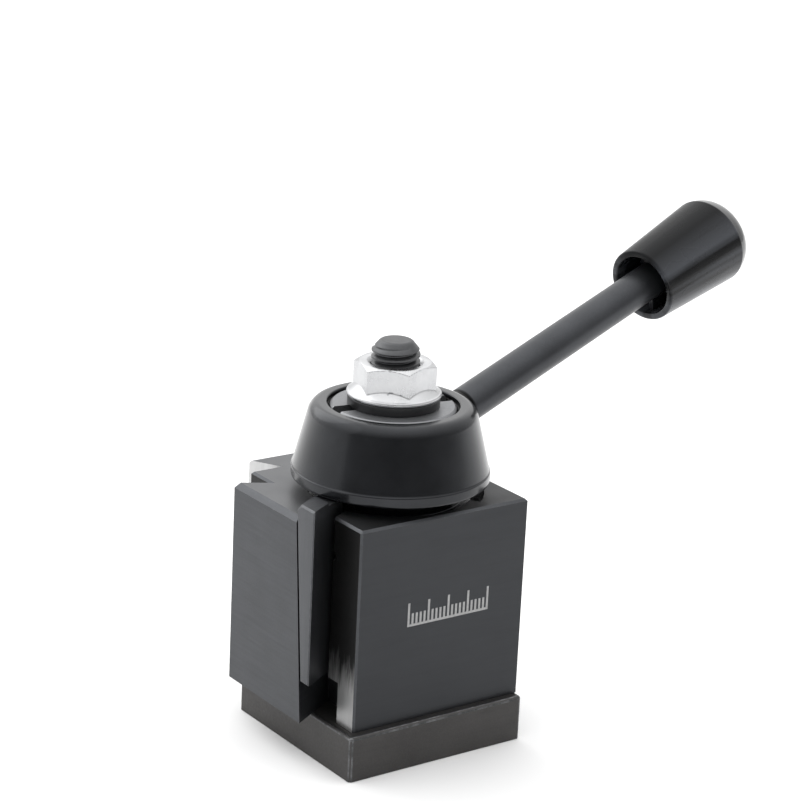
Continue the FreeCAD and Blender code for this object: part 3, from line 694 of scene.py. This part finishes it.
# Edge lines: the two bright ones are worn metal lit up as a painted highlight along the edges; the dark
# one edges the sleeve.
wear_and_highlight = edge_line_finish("wear_and_highlight_edge", 0.20, 0.34)
plate_wear_and_highlight = edge_line_finish("wear_and_highlight_edge_plate", 0.16, 0.36)
worn_dark = edge_line_finish("worn_edge_dark", 0.11, 0.40)
milled = black_steel("milled_oxide", 0.055, 0.48, tint=-0.03, grain=(0.04, 1.0, 1.0), grain_depth=0.4,
                     metallic=0.7, mottle=0.15, speckle=0.1)
carried_over("tnut_blank", milled, plate_wear_and_highlight, width=0.22)
carried_over("post_body", block_finish(), wear_and_highlight, width=0.16)
wedge = black_steel("wedge_oxide", 0.070, 0.38, tint=0.06, grain=(0.06, 1.0, 0.06), grain_depth=0.3)
carried_over("turning_wedge", wedge, wear_and_highlight, width=0.2)
carried_over("boring_wedge", wedge, wear_and_highlight, width=0.2)
sleeve = black_steel("sleeve_oxide", 0.20, 0.42, grain=(1, 1, 0.1))
carried_over("centre_sleeve", sleeve, worn_dark, width=0.15)
ground = plain_finish("ground_pin", grey(0.45), grey(0.6), 1.0, 0.25, 900.0, 0.2)
carried_over("sleeve_dowels", ground)
carried_over("stop_pin", ground)
rubber = plain_finish("seal_rubber", grey(0.012), grey(0.02), 0.0, 0.7, 1500.0, 0.3)
carried_over("hub_seal_ring", rubber)
brass = plain_finish("turned_brass", (0.55, 0.4, 0.17, 1), (0.72, 0.55, 0.28, 1), 1.0, 0.3, 700.0, 0.2)
carried_over("knob_insert", brass)
make_stud()
make_nut()
make_washer()
make_hub()
make_rod()
make_knob()
make_mark()


# ---------------------------------------------------------------- floor, lights and camera

def make_floor():
    """Pale disc for the shadow and the light from below."""
    shape = bmesh.new()
    bmesh.ops.create_circle(shape, cap_ends=True, segments=96, radius=6.0)
    floor = new_object("floor", finished_mesh("floor", shape))
    f = Finish("pale_floor")
    f.set(base=(0.88, 0.88, 0.88, 1.0), roughness=0.9, specular=0.1)
    floor.data.materials.append(f.material)


# Level direction toward the bright side of the studio, roughly away from the camera.
BEHIND = Vector((0.507, 0.862, 0))


def make_world(front, back, zenith):
    """Studio dome: dark behind the camera, light behind the object and brightest overhead."""
    world = bpy.data.worlds.new("studio")
    bpy.context.scene.world = world
    world.use_nodes = True
    tree = world.node_tree

    def maths(operation, first, second):
        node = tree.nodes.new("ShaderNodeMath")
        node.operation = operation
        for socket, value in zip(node.inputs, (first, second)):
            if isinstance(value, bpy.types.NodeSocket):
                tree.links.new(value, socket)
            else:
                socket.default_value = value
        return node.outputs[0]

    parts = tree.nodes.new("ShaderNodeSeparateXYZ")
    tree.links.new(tree.nodes.new("ShaderNodeTexCoord").outputs["Generated"], parts.inputs[0])
    behind = maths("ADD", maths("MULTIPLY", parts.outputs["X"], BEHIND.x),
                   maths("MULTIPLY", parts.outputs["Y"], BEHIND.y))
    share = maths("MULTIPLY", maths("ADD", behind, 1.0), 0.5)
    share = maths("POWER", maths("MAXIMUM", share, 0.0), 1.3)
    level = maths("ADD", maths("MULTIPLY", share, back - front), front)
    patch_edge, patch_slope, patch_depth = 0.93, 18.0, 0.9
    ahead = maths("MULTIPLY", behind, -1.0)
    patch = maths("MULTIPLY", maths("ADD", ahead, -patch_edge), patch_slope)
    patch = maths("MINIMUM", maths("MAXIMUM", patch, 0.0), 1.0)
    level = maths("MULTIPLY", level, maths("SUBTRACT", 1.0, maths("MULTIPLY", patch, patch_depth)))
    up = maths("POWER", maths("MAXIMUM", parts.outputs["Z"], 0.0), 1.6)
    background = tree.nodes["Background"]
    background.inputs["Color"].default_value = (1.0, 1.0, 1.0, 1.0)
    tree.links.new(maths("ADD", level, maths("MULTIPLY", up, zenith)), background.inputs["Strength"])


def direction_at(azimuth, elevation):
    """Unit vector toward an azimuth, counted from -Y, and an elevation, both in radians."""
    return Vector((math.sin(azimuth) * math.cos(elevation), -math.cos(azimuth) * math.cos(elevation),
                   math.sin(elevation)))


def sun(name, azimuth, elevation, strength, spread):
    """Soft light from a direction in degrees: azimuth 0 comes from -Y and 90 from +X."""
    light = bpy.data.lights.new(name, "SUN")
    light.energy = strength
    light.angle = math.radians(spread)
    lamp = bpy.data.objects.new(name, light)
    bpy.context.scene.collection.objects.link(lamp)
    source = direction_at(math.radians(azimuth), math.radians(elevation))
    lamp.location = source
    lamp.rotation_mode = "QUATERNION"
    lamp.rotation_quaternion = (-source).to_track_quat("-Z", "Y")


def make_camera():
    """Camera at the viewing angle: seen from the front left and a little above."""
    azimuth, elevation, roll = math.radians(-36.01), math.radians(17.72), math.radians(2.74)
    distance, across, up_shift = 551.55 * MM, 2.14 * MM, 17.48 * MM
    back = direction_at(azimuth, elevation)
    level = Vector((math.cos(azimuth), math.sin(azimuth), 0))
    upward = back.cross(level)
    right = math.cos(roll) * level + math.sin(roll) * upward
    up = math.cos(roll) * upward - math.sin(roll) * level
    data = bpy.data.cameras.new("camera")
    data.lens = 120.04
    data.sensor_width = 36.0
    data.clip_start, data.clip_end = 0.01, 50.0
    camera = bpy.data.objects.new("camera", data)
    bpy.context.scene.collection.objects.link(camera)
    target = Vector((0, 0, BLOCK_HIGH.z))
    turn = Matrix((right, up, back)).transposed().to_4x4()
    place = target + back * distance + right * across + up * up_shift
    camera.matrix_world = Matrix.Translation(place) @ turn
    bpy.context.scene.camera = camera


make_floor()
make_world(0.09, 1.1, 1.6)
sun("left_light", -130, 24, 0.8, 80)
sun("back_light", -165, 35, 0.7, 50)
make_camera()
bpy.context.scene.view_settings.view_transform = "Standard"
